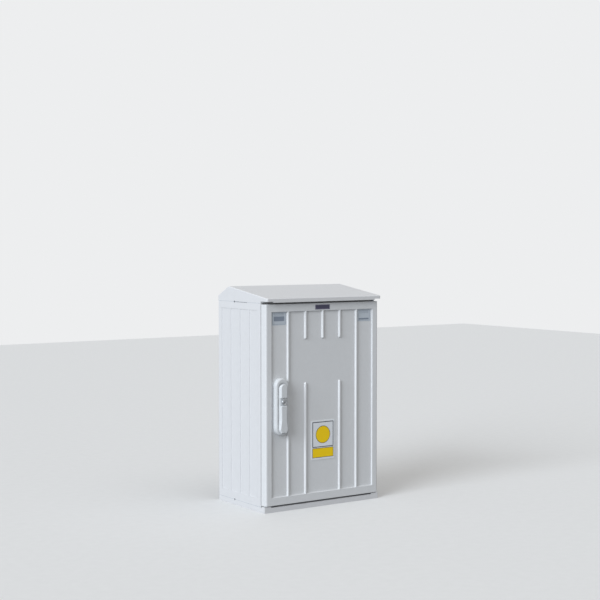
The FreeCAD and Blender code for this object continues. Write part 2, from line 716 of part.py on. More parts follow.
def make_door():
    """Ribbed door moulding: rounded tray with a sunk field, ribs and pivot bosses."""
    body = new_body("door_leaf")
    plan = sketch_on(body, "door_plan", "XY_Plane", "door_low")
    polygon(plan, [
        ("-door_edge", "door_rear"),
        ("-door_nose", "door_front"),
        ("door_nose", "door_front"),
        ("door_edge", "door_rear"),
    ])
    pad(body, plan, "door_high - door_low")
    round_upright_edges(body, "door_upright_edges", "door_nose", "door_front", "door_round")
    front = size("door_front")
    chamfer(body, "door_level_edges",
            lambda a, b: near(a.y, front) and near(b.y, front) and near(a.z, b.z),
            "door_chamfer")
    field = sketch_on(body, "door_field", "XZ_Plane", "-door_front")
    rectangle(field, "-field_edge", "field_edge", "field_low", "field_high")
    pocket(body, field, "field_depth", taper="-field_draft")
    inside = sketch_on(body, "door_inside", "XZ_Plane", "-door_rear")
    rectangle(inside, "-door_nose + skin", "door_edge - bevel_side - skin", "door_low + skin",
              "door_high - skin")
    pocket(body, inside, "door_rear - skin_rear", forwards=True)
    frame = sketch_on(body, "door_frame_inside", "XZ_Plane", "-skin_rear")
    rectangle(frame, "-door_nose + skin", "door_edge - bevel_side - skin", "door_low + skin",
              "door_high - skin")
    rectangle(frame, "-field_edge - skin", "field_edge + skin", "field_low - skin",
              "field_high + skin")
    pocket(body, frame, "skin_rear - frame_rear", forwards=True)
    run_out = "rib_foot"
    for number in (-2, 2):
        add_rib(body, f"full_rib_{number + 2}", f"{number} * rib_pitch",
                f"field_low - {run_out}", f"field_high + {run_out}", "none")
    for number in (-1, 0, 1):
        add_rib(body, f"upper_rib_{number + 1}", f"{number} * rib_pitch",
                "field_high - rib_upper_length", f"field_high + {run_out}", "low")
    for number in (-1, 1):
        add_rib(body, f"lower_rib_{number + 1}", f"{number} * rib_pitch",
                f"field_low - {run_out}", "field_low + rib_lower_length", "high")
    ring = sketch_on(body, "sealing_rib", "XZ_Plane", "-skin_rear")
    middle = "seal_width / 2"
    for shift in ("seal_rib / 2", "-seal_rib / 2"):
        rectangle(ring, f"-seal_edge + {middle} - ({shift})", f"seal_edge - {middle} + ({shift})",
                  f"seal_low + {middle} - ({shift})", f"seal_high - {middle} + ({shift})")
    pad(body, ring, "flange_front - seal_thickness - seal_clear - skin_rear", backwards=True)
    for name, level, upwards in (("lower_boss", "door_low", True),
                                 ("upper_boss", "door_high", False)):
        boss = sketch_on(body, name, "XY_Plane", level)
        rectangle(boss, "pivot_x - bush_diameter / 2 - skin / 2", "door_nose - skin / 2",
                  "frame_rear - skin / 2", "pivot_y + bush_diameter / 2 + skin / 2")
        pad(body, boss, "bush_length", backwards=not upwards)
        bore = sketch_on(body, name + "_bore", "XY_Plane", level)
        circle(bore, "pivot_x", "pivot_y", "bush_diameter / 2")
        pocket(body, bore, "bush_length", forwards=upwards)
    relief = sketch_on(body, "hinge_relief", "XY_Plane", "door_low")
    polygon(relief, [
        ("door_edge", "door_rear"),
        ("door_edge - bevel_side", "door_rear"),
        ("door_edge", "door_rear - bevel_back"),
    ])
    pocket(body, relief, "door_high - door_low", forwards=True)
    hub_hole = sketch_on(body, "hub_hole", "XZ_Plane", "-field_front")
    circle(hub_hole, "handle_x", "hub_level", "hub_diameter / 2 + hub_clear")
    pocket(body, hub_hole, "skin")
    return body


def make_handle_base():
    """Long round-ended escutcheon with a shallow trough round the lever."""
    body = new_body("handle_base")
    outline = sketch_on(body, "handle_outline", "XZ_Plane", "-field_front")
    slot(outline, "handle_x", "handle_low", "handle_high", "handle_width / 2")
    pad(body, outline, "handle_rise")
    front = size("handle_front")
    fillet(body, "handle_front_edge",
           lambda a, b: near(a.y, front) and near(b.y, front), "handle_round")
    trough = sketch_on(body, "handle_trough", "XZ_Plane", "-handle_front")
    slot(trough, "handle_x", "handle_low + trough_foot", "hub_level + trough_width / 2",
         "trough_width / 2")
    pocket(body, trough, "trough_depth")
    bore = sketch_on(body, "handle_bore", "XZ_Plane", "-trough_floor")
    circle(bore, "handle_x", "hub_level", "hub_diameter / 2 + hub_clear")
    pocket(body, bore, "field_front - trough_floor")
    return body


def make_hub():
    """Turning hub: shaft, tail in the lock case and knuckle for the lever."""
    body = new_body("handle_hub")
    shaft = sketch_on(body, "hub_shaft", "XZ_Plane", "-skin_rear")
    circle(shaft, "handle_x", "hub_level", "hub_diameter / 2")
    pad(body, shaft, "skin_rear - trough_floor")
    tail = sketch_on(body, "hub_tail", "XZ_Plane", "-skin_rear - tail_reach")
    circle(tail, "handle_x", "hub_level", "tail_diameter / 2")
    pad(body, tail, "tail_reach")
    stem = sketch_on(body, "hub_stem", "YZ_Plane", "handle_x")
    rectangle(stem, "lever_axis", "trough_floor", "hub_level - knuckle_radius",
              "hub_level + knuckle_radius")
    pad(body, stem, "knuckle_width", midplane=True)
    knuckle = sketch_on(body, "hub_knuckle", "YZ_Plane", "handle_x")
    circle(knuckle, "lever_axis", "hub_level", "knuckle_radius")
    pad(body, knuckle, "knuckle_width", midplane=True)
    eye = sketch_on(body, "hub_eye", "YZ_Plane", "handle_x")
    circle(eye, "lever_axis", "hub_level", "cross_pin / 2 + pin_clear")
    pocket(body, eye, "knuckle_width", midplane=True)
    return body


def make_lever():
    """Lever with a round head, a window across it for the lock and a flared grip end."""
    body = new_body("handle_lever")
    outline = sketch_on(body, "lever_outline", "XZ_Plane", "-lever_rear")
    head = "hub_level + lever_width / 2"
    left_side = [
        ("lever_width", head),
        ("lever_width", "window_low - 2 * window_round"),
        ("lever_waist", "window_low - 2 * window_round - lever_neck"),
        ("lever_waist", "lever_low + lever_shoulder"),
        ("lever_flare", "lever_low + lever_cheek"),
        ("lever_flare - 2 * lever_toe", "lever_low"),
        ("2 * lever_notch", "lever_low"),
    ]
    polygon(outline, [(f"handle_x - ({across}) / 2", up) for across, up in left_side]
            + [("handle_x", "lever_low + lever_notch")]
            + [(f"handle_x + ({across}) / 2", up) for across, up in reversed(left_side)])
    pad(body, outline, "lever_thickness")
    top = size(head)
    fillet(body, "lever_head_corners",
           lambda a, b: near(a.z, top) and near(b.z, top) and near(a.x, b.x),
           "lever_width * head_share")
    front = size("lever_front")
    low, high = size("window_low"), size("window_high")
    window = sketch_on(body, "lever_window", "YZ_Plane", "handle_x")
    rectangle(window, "lever_front", "window_rear", "window_low", "window_high")
    pocket(body, window, "lever_flare", midplane=True)
    fillet(body, "window_corners",
           lambda a, b: near(a.x, b.x) and near(a.z, b.z) and near(min(a.y, b.y), front)
           and (near(a.z, low) or near(a.z, high)),
           "window_round")
    fillet(body, "lever_front_edges",
           lambda a, b: near(a.y, front) and near(b.y, front), "lever_round")
    heel = sketch_on(body, "lever_heel", "YZ_Plane", "handle_x")
    polygon(heel, [
        ("lever_rear", head),
        ("lever_rear", "hub_level + heel_rise"),
        ("lever_rear - heel_reach", head),
    ])
    pocket(body, heel, "lever_width", midplane=True)
    fork = sketch_on(body, "lever_fork", "YZ_Plane", "handle_x")
    room = "(knuckle_radius + knuckle_clear)"
    rectangle(fork, "lever_axis - knuckle_clear", "lever_rear", f"hub_level - {room}", head)
    pocket(body, fork, "knuckle_width + 2 * knuckle_clear", midplane=True)
    socket = sketch_on(body, "lever_socket", "YZ_Plane", "handle_x")
    circle(socket, "lever_axis", "hub_level", room)
    pocket(body, socket, "knuckle_width + 2 * knuckle_clear", midplane=True)
    eye = sketch_on(body, "lever_eye", "YZ_Plane", "handle_x")
    circle(eye, "lever_axis", "hub_level", "cross_pin / 2")
    pocket(body, eye, "lever_width", midplane=True)
    return body


def make_lock():
    """Cross pin, lock barrel and turning plug on the lever."""
    keep("cross_pin", rod("lever_cross_pin", "cross_pin / 2", "lever_width",
                          "handle_x - lever_width / 2", "lever_axis", "hub_level", "X"))
    barrel = rod("barrel_outside", "barrel_diameter / 2", "barrel_rise", "handle_x",
                 "window_rear - barrel_rise", "window_mid", "Y")
    bore = rod("barrel_bore", "plug_diameter / 2 + pin_clear", "barrel_rise", "handle_x",
               "window_rear - barrel_rise", "window_mid", "Y")
    cut("lock_barrel", barrel, bore)
    keep("key_plug", rod("plug", "plug_diameter / 2", "plug_rise - plug_seat", "handle_x",
                         "window_rear - plug_rise", "window_mid", "Y"))


def make_lock_case():
    """Closed lock case behind the skin, with rods drawn in and their guides."""
    block = box("case_block", "handle_x - case_width / 2", "handle_x + case_width / 2",
                "skin_rear", "skin_rear + case_depth", "hub_level - case_height / 2",
                "hub_level + case_height / 2")
    socket = rod("case_socket", "tail_diameter / 2 + hub_clear", "tail_reach + hub_clear",
                 "handle_x", "skin_rear", "hub_level", "Y")
    cut("lock_case", block, socket)
    keep("lock_rod_upper", rod("upper_rod", "rod_diameter / 2",
                               "rod_top - hub_level - case_height / 2",
                               "handle_x", "rod_y", "hub_level + case_height / 2"))
    keep("lock_rod_lower", rod("lower_rod", "rod_diameter / 2",
                               "hub_level - case_height / 2 - rod_bottom",
                               "handle_x", "rod_y", "rod_bottom"))
    for label, level in (("rod_guide_upper", "guide_high"), ("rod_guide_lower", "guide_low")):
        guide = box(label + "_block", "handle_x - guide_width / 2", "handle_x + guide_width / 2",
                    "skin_rear", "skin_rear + guide_depth", f"{level} - guide_height / 2",
                    f"{level} + guide_height / 2")
        bore = rod(label + "_bore", "rod_diameter / 2 + rod_clear", "guide_height",
                   "handle_x", "rod_y", f"{level} - guide_height / 2")
        cut(label, guide, bore)


def write_pieces():
    """Check every object and write each node's shape."""
    document.recompute()
    for item in document.Objects:
        if "Invalid" in item.State or "Error" in item.State:
            raise RuntimeError(f"{item.Name} failed: {item.State}")
    for piece in pieces:
        if piece.Shape.isNull() or not piece.Shape.isValid():
            raise RuntimeError(f"{piece.Label} has no valid shape")
    os.makedirs("parts", exist_ok=True)
    for piece in pieces:
        piece.Shape.exportStep(f"parts/{piece.Label}.step")


fill_sheet()
make_base()
make_side_wall("left_wall", -1)
make_side_wall("right_wall", 1)
make_rear_wall()
make_inserts()
make_rails()
make_seal()
make_roof()
make_pivots()
make_door()
make_handle_base()
make_hub()
make_lever()
make_lock()
make_lock_case()
write_pieces()
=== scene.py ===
"""Looks of the thermoset enclosure: finishes, sign, labels, seams, screws, light and camera.

Metres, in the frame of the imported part: +X right, +Y back, +Z up, origin at the middle of the base.
"""
import math

import bpy
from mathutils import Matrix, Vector


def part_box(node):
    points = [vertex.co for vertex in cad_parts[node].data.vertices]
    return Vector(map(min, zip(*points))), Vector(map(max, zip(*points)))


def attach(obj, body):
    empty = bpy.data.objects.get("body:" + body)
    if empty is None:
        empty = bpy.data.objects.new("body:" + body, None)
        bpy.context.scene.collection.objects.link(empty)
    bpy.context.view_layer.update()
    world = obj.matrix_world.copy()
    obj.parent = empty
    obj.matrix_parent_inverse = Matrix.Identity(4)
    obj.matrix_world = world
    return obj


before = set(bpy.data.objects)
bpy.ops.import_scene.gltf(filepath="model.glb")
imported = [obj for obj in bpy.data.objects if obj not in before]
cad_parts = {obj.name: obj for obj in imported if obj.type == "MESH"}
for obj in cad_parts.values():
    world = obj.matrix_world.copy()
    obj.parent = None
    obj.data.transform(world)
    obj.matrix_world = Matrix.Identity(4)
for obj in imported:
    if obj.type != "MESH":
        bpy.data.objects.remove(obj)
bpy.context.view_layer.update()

MM = 0.001
TURN = 2 * math.pi


def linear(hex_colour):
    """Linear RGBA of an sRGB hex colour."""
    channels = [int(hex_colour[i:i + 2], 16) / 255 for i in (1, 3, 5)]
    return [c / 12.92 if c <= 0.04045 else ((c + 0.055) / 1.055) ** 2.4 for c in channels] + [1.0]


def add_node(tree, kind, inputs=None, **settings):
    """Add a node with its settings; an input is a value or the socket it is linked to."""
    node = tree.nodes.new(kind)
    for name, value in settings.items():
        setattr(node, name, value)
    for name, value in (inputs or {}).items():
        if isinstance(value, bpy.types.NodeSocket):
            tree.links.new(value, node.inputs[name])
        else:
            node.inputs[name].default_value = value
    return node


def start_material(name):
    """An empty node material with its shader and the object's own coordinates in metres."""
    material = bpy.data.materials.new(name)
    material.use_nodes = True
    tree = material.node_tree
    tree.nodes.clear()
    shader = add_node(tree, "ShaderNodeBsdfPrincipled")
    add_node(tree, "ShaderNodeOutputMaterial", {"Surface": shader.outputs["BSDF"]})
    place = add_node(tree, "ShaderNodeTexCoord").outputs["Object"]
    return material, tree, shader, place


# Thermoset: glass-fibre polyester pressed in a hot polished mould. The surface is satin, the
# fibres show as a very faint mottle under the skin, and the skin has a fine orange peel. The
# inner corners are darkened with painted shade from ambient occlusion.
FIBRE_MOTTLE = 14 * MM
FIBRE_LENGTH = 5 * MM
ORANGE_PEEL = 1.6 * MM
PEEL_DEPTH = 0.25 * MM
MOULDED_EDGE = 0.7 * MM
# Painted shade: how far the ambient occlusion reaches, and the grey that corners darken towards.
SHADE_REACH = 6 * MM
CORNER_SHADE_GREY = "#7f8284"
POLYESTER_IOR = 1.52


def pressed_thermoset(name, light, dark):
    """Light grey pressed moulding with soft edges and painted shade in its corners."""
    material, tree, shader, place = start_material(name)
    mottle = add_node(tree, "ShaderNodeTexNoise", {
        "Vector": place, "Scale": 1 / FIBRE_MOTTLE, "Detail": 5.0, "Distortion": 0.8})
    fibres = add_node(tree, "ShaderNodeTexNoise", {
        "Vector": place, "Scale": 1 / FIBRE_LENGTH, "Detail": 3.0, "Distortion": 2.5})
    both = add_node(tree, "ShaderNodeMath", {
        0: mottle.outputs["Fac"], 1: fibres.outputs["Fac"]}, operation="MULTIPLY")
    tone = add_node(tree, "ShaderNodeMapRange", {
        "Value": both.outputs["Value"], "From Min": 0.12, "From Max": 0.40})
    colour = add_node(tree, "ShaderNodeMix", {
        "Factor": tone.outputs["Result"], "A": linear(dark), "B": linear(light)},
        data_type="RGBA")
    # Painted shade: ambient occlusion darkens the colour in inner corners and grooves.
    corner = add_node(tree, "ShaderNodeAmbientOcclusion", {"Distance": SHADE_REACH}, samples=6)
    painted_shade = add_node(tree, "ShaderNodeMapRange", {
        "Value": corner.outputs["AO"], "From Min": 0.1, "From Max": 0.6,
        "To Min": 0.94, "To Max": 1.0})
    shaded_colour = add_node(tree, "ShaderNodeMix", {
        "Factor": painted_shade.outputs["Result"], "A": linear(CORNER_SHADE_GREY),
        "B": colour.outputs["Result"]}, data_type="RGBA")
    gloss = add_node(tree, "ShaderNodeMapRange", {
        "Value": mottle.outputs["Fac"], "From Min": 0.3, "From Max": 0.7,
        "To Min": 0.36, "To Max": 0.46})
    peel = add_node(tree, "ShaderNodeTexNoise", {
        "Vector": place, "Scale": 1 / ORANGE_PEEL, "Detail": 2.0})
    soft = add_node(tree, "ShaderNodeBevel", {"Radius": MOULDED_EDGE}, samples=4)
    bump = add_node(tree, "ShaderNodeBump", {
        "Height": peel.outputs["Fac"], "Normal": soft.outputs["Normal"],
        "Strength": 0.12, "Distance": PEEL_DEPTH})
    tree.links.new(shaded_colour.outputs["Result"], shader.inputs["Base Color"])
    tree.links.new(gloss.outputs["Result"], shader.inputs["Roughness"])
    tree.links.new(bump.outputs["Normal"], shader.inputs["Normal"])
    shader.inputs["IOR"].default_value = POLYESTER_IOR
    return material


# Glass-filled polyamide, injection moulded in a spark-eroded tool: a fine even grain that
# scatters the highlight, with slow clouds of tone in the resin.
EROSION_GRAIN = 0.55 * MM
EROSION_DEPTH = 0.08 * MM
RESIN_CLOUD = 9 * MM
GRAINED_EDGE = 0.5 * MM
POLYAMIDE_IOR = 1.53


def grained_polyamide(name, hex_colour, roughness):
    """Moulded plastic with the fine pits of a spark-eroded tool."""
    material, tree, shader, place = start_material(name)
    grain = add_node(tree, "ShaderNodeTexVoronoi", {
        "Vector": place, "Scale": 1 / EROSION_GRAIN}, feature="SMOOTH_F1")
    cloud = add_node(tree, "ShaderNodeTexNoise", {
        "Vector": place, "Scale": 1 / RESIN_CLOUD, "Detail": 3.0})
    shade = add_node(tree, "ShaderNodeMapRange", {
        "Value": cloud.outputs["Fac"], "To Min": 0.95, "To Max": 1.03})
    colour = add_node(tree, "ShaderNodeVectorMath", {
        0: linear(hex_colour)[:3], "Scale": shade.outputs["Result"]}, operation="SCALE")
    soft = add_node(tree, "ShaderNodeBevel", {"Radius": GRAINED_EDGE}, samples=4)
    bump = add_node(tree, "ShaderNodeBump", {
        "Height": grain.outputs["Distance"], "Normal": soft.outputs["Normal"],
        "Strength": 0.15, "Distance": EROSION_DEPTH})
    tree.links.new(colour.outputs["Vector"], shader.inputs["Base Color"])
    tree.links.new(bump.outputs["Normal"], shader.inputs["Normal"])
    shader.inputs["Roughness"].default_value = roughness
    shader.inputs["IOR"].default_value = POLYAMIDE_IOR
    return material


# Drawn, turned and cast metals, bare or plated: a faint crystalline cloud in the tone, and fine
# tool lines along one axis that stretch the highlight.
LINE_SPACING = 0.15 * MM
LINE_LENGTH = 20 * MM
LINE_DEPTH = 0.03 * MM
PLATING_CLOUD = 4 * MM
METAL_EDGE = 0.25 * MM


def plated_steel(name, hex_colour, roughness, line_axis):
    """Plated or machined metal with fine lines along one axis."""
    material, tree, shader, place = start_material(name)
    stretch = [1 / LINE_SPACING] * 3
    stretch[line_axis] = 1 / LINE_LENGTH
    scaled = add_node(tree, "ShaderNodeMapping", {"Vector": place, "Scale": stretch})
    lines = add_node(tree, "ShaderNodeTexNoise", {
        "Vector": scaled.outputs["Vector"], "Scale": 1.0, "Detail": 4.0})
    cloud = add_node(tree, "ShaderNodeTexNoise", {
        "Vector": place, "Scale": 1 / PLATING_CLOUD, "Detail": 4.0})
    shade = add_node(tree, "ShaderNodeMapRange", {
        "Value": cloud.outputs["Fac"], "To Min": 0.85, "To Max": 1.08})
    colour = add_node(tree, "ShaderNodeVectorMath", {
        0: linear(hex_colour)[:3], "Scale": shade.outputs["Result"]}, operation="SCALE")
    gloss = add_node(tree, "ShaderNodeMapRange", {
        "Value": lines.outputs["Fac"], "To Min": roughness * 0.75, "To Max": roughness * 1.3})
    soft = add_node(tree, "ShaderNodeBevel", {"Radius": METAL_EDGE}, samples=4)
    bump = add_node(tree, "ShaderNodeBump", {
        "Height": lines.outputs["Fac"], "Normal": soft.outputs["Normal"],
        "Strength": 0.1, "Distance": LINE_DEPTH})
    tree.links.new(colour.outputs["Vector"], shader.inputs["Base Color"])
    tree.links.new(gloss.outputs["Result"], shader.inputs["Roughness"])
    tree.links.new(bump.outputs["Normal"], shader.inputs["Normal"])
    shader.inputs["Metallic"].default_value = 1.0
    return material


# EPDM rubber, extruded: matte black with a chalky bloom and a fine grain from the die.
BLOOM_PATCH = 12 * MM
RUBBER_GRAIN = 0.6 * MM
RUBBER_GRAIN_DEPTH = 0.1 * MM


def extruded_rubber(name):
    """Black sealing rubber with a faint grey bloom."""
    material, tree, shader, place = start_material(name)
    bloom = add_node(tree, "ShaderNodeTexNoise", {
        "Vector": place, "Scale": 1 / BLOOM_PATCH, "Detail": 6.0})
    colour = add_node(tree, "ShaderNodeMix", {
        "Factor": bloom.outputs["Fac"], "A": linear("#161617"), "B": linear("#2b2c2d")},
        data_type="RGBA")
    grain = add_node(tree, "ShaderNodeTexNoise", {"Vector": place, "Scale": 1 / RUBBER_GRAIN})
    bump = add_node(tree, "ShaderNodeBump", {
        "Height": grain.outputs["Fac"], "Strength": 0.2, "Distance": RUBBER_GRAIN_DEPTH})
    tree.links.new(colour.outputs["Result"], shader.inputs["Base Color"])
    tree.links.new(bump.outputs["Normal"], shader.inputs["Normal"])
    shader.inputs["Roughness"].default_value = 0.72
    return material


# Printed film: a smooth lacquered ink layer, with faint dust specks and a slight ripple.
FILM_RIPPLE = 18 * MM
RIPPLE_DEPTH = 0.4 * MM
DUST_SPECK = 0.9 * MM


def printed_film(name, hex_colour, roughness=0.32, metallic=0.0):
    """Ink or foil on a self-adhesive film."""
    material, tree, shader, place = start_material(name)
    ripple = add_node(tree, "ShaderNodeTexNoise", {
        "Vector": place, "Scale": 1 / FILM_RIPPLE, "Detail": 2.0})
    specks = add_node(tree, "ShaderNodeTexNoise", {
        "Vector": place, "Scale": 1 / DUST_SPECK, "Detail": 3.0})
    shade = add_node(tree, "ShaderNodeMapRange", {
        "Value": specks.outputs["Fac"], "To Min": 0.93, "To Max": 1.04})
    colour = add_node(tree, "ShaderNodeVectorMath", {
        0: linear(hex_colour)[:3], "Scale": shade.outputs["Result"]}, operation="SCALE")
    bump = add_node(tree, "ShaderNodeBump", {
        "Height": ripple.outputs["Fac"], "Strength": 0.15, "Distance": RIPPLE_DEPTH})
    tree.links.new(colour.outputs["Vector"], shader.inputs["Base Color"])
    tree.links.new(bump.outputs["Normal"], shader.inputs["Normal"])
    shader.inputs["Roughness"].default_value = roughness
    shader.inputs["Metallic"].default_value = metallic
    return material


# Studio floor: matte paper. The camera sees it pale, and it throws less light on the object.
FLOOR_GRAIN = 25 * MM
FLOOR_REACH = 6.0
FLOOR_BOUNCE = "#8f9091"


def plain_floor(name):
    """Pale matte studio floor, which throws less light back than the camera sees."""
    material, tree, shader, place = start_material(name)
    grain = add_node(tree, "ShaderNodeTexNoise", {"Vector": place, "Scale": 1 / FLOOR_GRAIN})
    seen = add_node(tree, "ShaderNodeMix", {
        "Factor": grain.outputs["Fac"], "A": linear("#e4e5e5"), "B": linear("#e9eaea")},
        data_type="RGBA")
    path = add_node(tree, "ShaderNodeLightPath")
    colour = add_node(tree, "ShaderNodeMix", {
        "Factor": path.outputs["Is Camera Ray"], "A": linear(FLOOR_BOUNCE),
        "B": seen.outputs["Result"]}, data_type="RGBA")
    tree.links.new(colour.outputs["Result"], shader.inputs["Base Color"])
    shader.inputs["Roughness"].default_value = 0.8
    return material


SHELL = pressed_thermoset("thermoset_pressed", "#dcdddf", "#d9dadc")
# Painted light: the door takes a slightly lighter copy of the same thermoset, to make up for the
# light on its front.
DOOR_LIGHTENED = pressed_thermoset("thermoset_pressed_door_lightened", "#dddfe1", "#dadcde")
HANDLE = grained_polyamide("polyamide_grained_light", "#d6d9dc", 0.42)
CASE = grained_polyamide("polyamide_grained_black", "#202224", 0.5)
BUSH = grained_polyamide("acetal_turned_white", "#dcdcd6", 0.35)
STEEL = plated_steel("steel_zinc_plated", "#b9bec4", 0.32, 2)
BRASS = plated_steel("brass_turned", "#c9a052", 0.28, 1)
NICKEL = plated_steel("brass_nickel_plated", "#e4e7ea", 0.2, 1)
ZINC = plated_steel("zinc_die_cast", "#a2a6aa", 0.42, 0)
RUBBER = extruded_rubber("epdm_extruded")
FILM_WHITE = printed_film("vinyl_printed_white", "#e9edf1")
FILM_YELLOW = printed_film("vinyl_printed_yellow", "#ffd800")
FILM_DARK = printed_film("vinyl_printed_dark", "#2f3444")
FOIL = printed_film("aluminium_foil_printed", "#cbd4dd", 0.38, 0.25)
FOIL_INK = printed_film("foil_ink_grey", "#8791a0", 0.4)
PLATE_DARK = printed_film("aluminium_plate_lacquered", "#4a4860", 0.3)
PLATE_EDGE = printed_film("aluminium_plate_bare", "#8d8a9e", 0.35, 0.3)

# The joint between two mouldings, and painted shade standing in for the dark inside of a hole, a slot
# or the keyhole.
SEAM = grained_polyamide("seam_shadow", "#aab3bc", 0.8)
RECESS = grained_polyamide("shadowed_recess", "#3a3f46", 0.8)

NODE_FINISH = {
    "base_tray": SHELL, "left_wall": SHELL, "right_wall": SHELL, "rear_wall": SHELL,
    "bottom_rail": SHELL, "top_rail": SHELL, "roof": SHELL, "door_leaf": DOOR_LIGHTENED,
    "mounting_inserts": BRASS, "pivot_pin_lower": STEEL, "pivot_pin_upper": STEEL,
    "pivot_bush_lower": BUSH, "pivot_bush_upper": BUSH, "handle_base": HANDLE,
    "handle_lever": HANDLE, "handle_hub": ZINC, "lock_case": CASE, "rod_guide_upper": CASE,
    "rod_guide_lower": CASE, "lock_rod_upper": STEEL, "lock_rod_lower": STEEL,
    "cross_pin": STEEL, "lock_barrel": NICKEL, "key_plug": NICKEL, "door_seal": RUBBER,
}


def finish_nodes():
    """Give every carried-over piece of the part its finish."""
    for node, material in NODE_FINISH.items():
        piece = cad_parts[node]
        piece.data.materials.clear()
        piece.data.materials.append(material)


# Body and slot of what is stuck or screwed on
ON_DOOR = ("door", "thermoset_door")
ON_CABINET = ("cabinet", "thermoset")
FORWARD = (0, -1, 0)
BACKWARD = (0, 1, 0)

CORNER_STEPS = 6
FINE_CORNER = 0.1 * MM
INK_BEVEL = 0.02 * MM


def piece_from(name, points, faces, material, body, slot):
    """A mesh piece that rides on a body."""
    mesh = bpy.data.meshes.new(name)
    mesh.from_pydata([tuple(point) for point in points], [], faces)
    mesh.validate()
    mesh.update()
    mesh.materials.append(material)
    piece = bpy.data.objects.new(name, mesh)
    bpy.context.collection.objects.link(piece)
    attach(piece, body)
    return piece


def join_rings(count, level, other):
    """Faces between two rings of equally many points."""
    faces = []
    for index in range(count):
        following = (index + 1) % count
        faces.append((level * count + index, level * count + following,
                      other * count + following, other * count + index))
    return faces


def stack_rings(rings):
    """Points and faces of stacked rings, closed at both ends."""
    count = len(rings[0])
    points = [point for ring in rings for point in ring]
    faces = []
    for level in range(len(rings) - 1):
        faces += join_rings(count, level, level + 1)
    faces.append(tuple(reversed(range(count))))
    faces.append(tuple(range((len(rings) - 1) * count, len(rings) * count)))
    return points, faces


def close_rings(rings):
    """Points and faces of a band: each ring joins the next, and the last joins the first."""
    count = len(rings[0])
    points = [point for ring in rings for point in ring]
    faces = []
    for level in range(len(rings)):
        faces += join_rings(count, level, (level + 1) % len(rings))
    return points, faces


def facing_ring(edges, inset, radius, along):
    """Ring of a flat piece that faces the front: a rectangle with round corners."""
    left, right, low, high = edges
    left, right, low, high = left + inset, right - inset, low + inset, high - inset
    corners = [(right - radius, low + radius, -TURN / 4), (right - radius, high - radius, 0.0),
               (left + radius, high - radius, TURN / 4), (left + radius, low + radius, TURN / 2)]
    ring = []
    for x, z, start in corners:
        for step in range(CORNER_STEPS + 1):
            angle = start + TURN / 4 * step / CORNER_STEPS
            ring.append((x + radius * math.cos(angle), along, z + radius * math.sin(angle)))
    return ring


def slab(name, edges, back, thickness, corner, bevel, material, body, slot):
    """A plate facing the front, with round corners and a bevelled front edge."""
    front = back - thickness
    rings = [facing_ring(edges, inset, max(corner - inset, bevel), along)
             for inset, along in ((0, back), (0, front + bevel), (bevel, front))]
    points, faces = stack_rings(rings)
    return piece_from(name, points, faces, material, body, slot)


def line_frame(name, edges, back, thickness, width, corner, material, body, slot):
    """A printed border line, as a thin flat ring facing the front."""
    front = back - thickness
    rings = [facing_ring(edges, inset, max(corner - inset, FINE_CORNER), along)
             for inset, along in ((0, back), (0, front), (width, front), (width, back))]
    points, faces = close_rings(rings)
    return piece_from(name, points, faces, material, body, slot)


LOBES = 6
LOBE_DEPTH = 0.16


def lathe(name, profile, centre, axis, material, body, slot, steps=32, lobed=()):
    """A turned piece from (radius, height) points; the rings that lobed names get six lobes."""
    direction = Vector(axis).normalized()
    turn = Vector((0, 0, 1)).rotation_difference(direction).to_matrix()
    rings = []
    for number, (radius, height) in enumerate(profile):
        ring = []
        for step in range(steps):
            angle = TURN * step / steps
            reach = radius
            if number in lobed:
                reach *= 1 + LOBE_DEPTH * math.cos(LOBES * angle)
            ring.append(Vector(centre) + turn @ Vector(
                (reach * math.cos(angle), reach * math.sin(angle), height)))
        rings.append(ring)
    points, faces = stack_rings(rings)
    return piece_from(name, points, faces, material, body, slot)


# Places read from the frame
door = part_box("door_leaf")
left_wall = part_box("left_wall")
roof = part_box("roof")
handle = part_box("handle_base")
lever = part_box("handle_lever")
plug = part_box("key_plug")
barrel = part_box("lock_barrel")
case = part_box("lock_case")
HALF_WIDTH = -left_wall[0][0]
DOOR_FRONT = door[0][1]
FIELD_FRONT = handle[1][1]

# The sign plate: left, right, low and high edge, then its margins, inks and disc
SIGN_EDGES = (-40 * MM, 42.5 * MM, 134.8 * MM, 248.7 * MM)
SIGN_THICKNESS = 1.0 * MM
SIGN_CORNER = 3 * MM
SIGN_BEVEL = 0.3 * MM
SIGN_MARGIN = 4.2 * MM
SIGN_FOOT = 6 * MM
SIGN_SPLIT = 169.8 * MM
SIGN_HALF_GAP = 1 * MM
SIGN_INK = 0.06 * MM
UPPER_LINE = 2.2 * MM
UPPER_CORNER = 0.6 * MM
LOWER_LINE = 1.3 * MM
LOWER_CORNER = 0.8 * MM
DISC_RADIUS = 24 * MM
DISC_RIM_RADIUS = 25.4 * MM
DISC_STEPS = 72


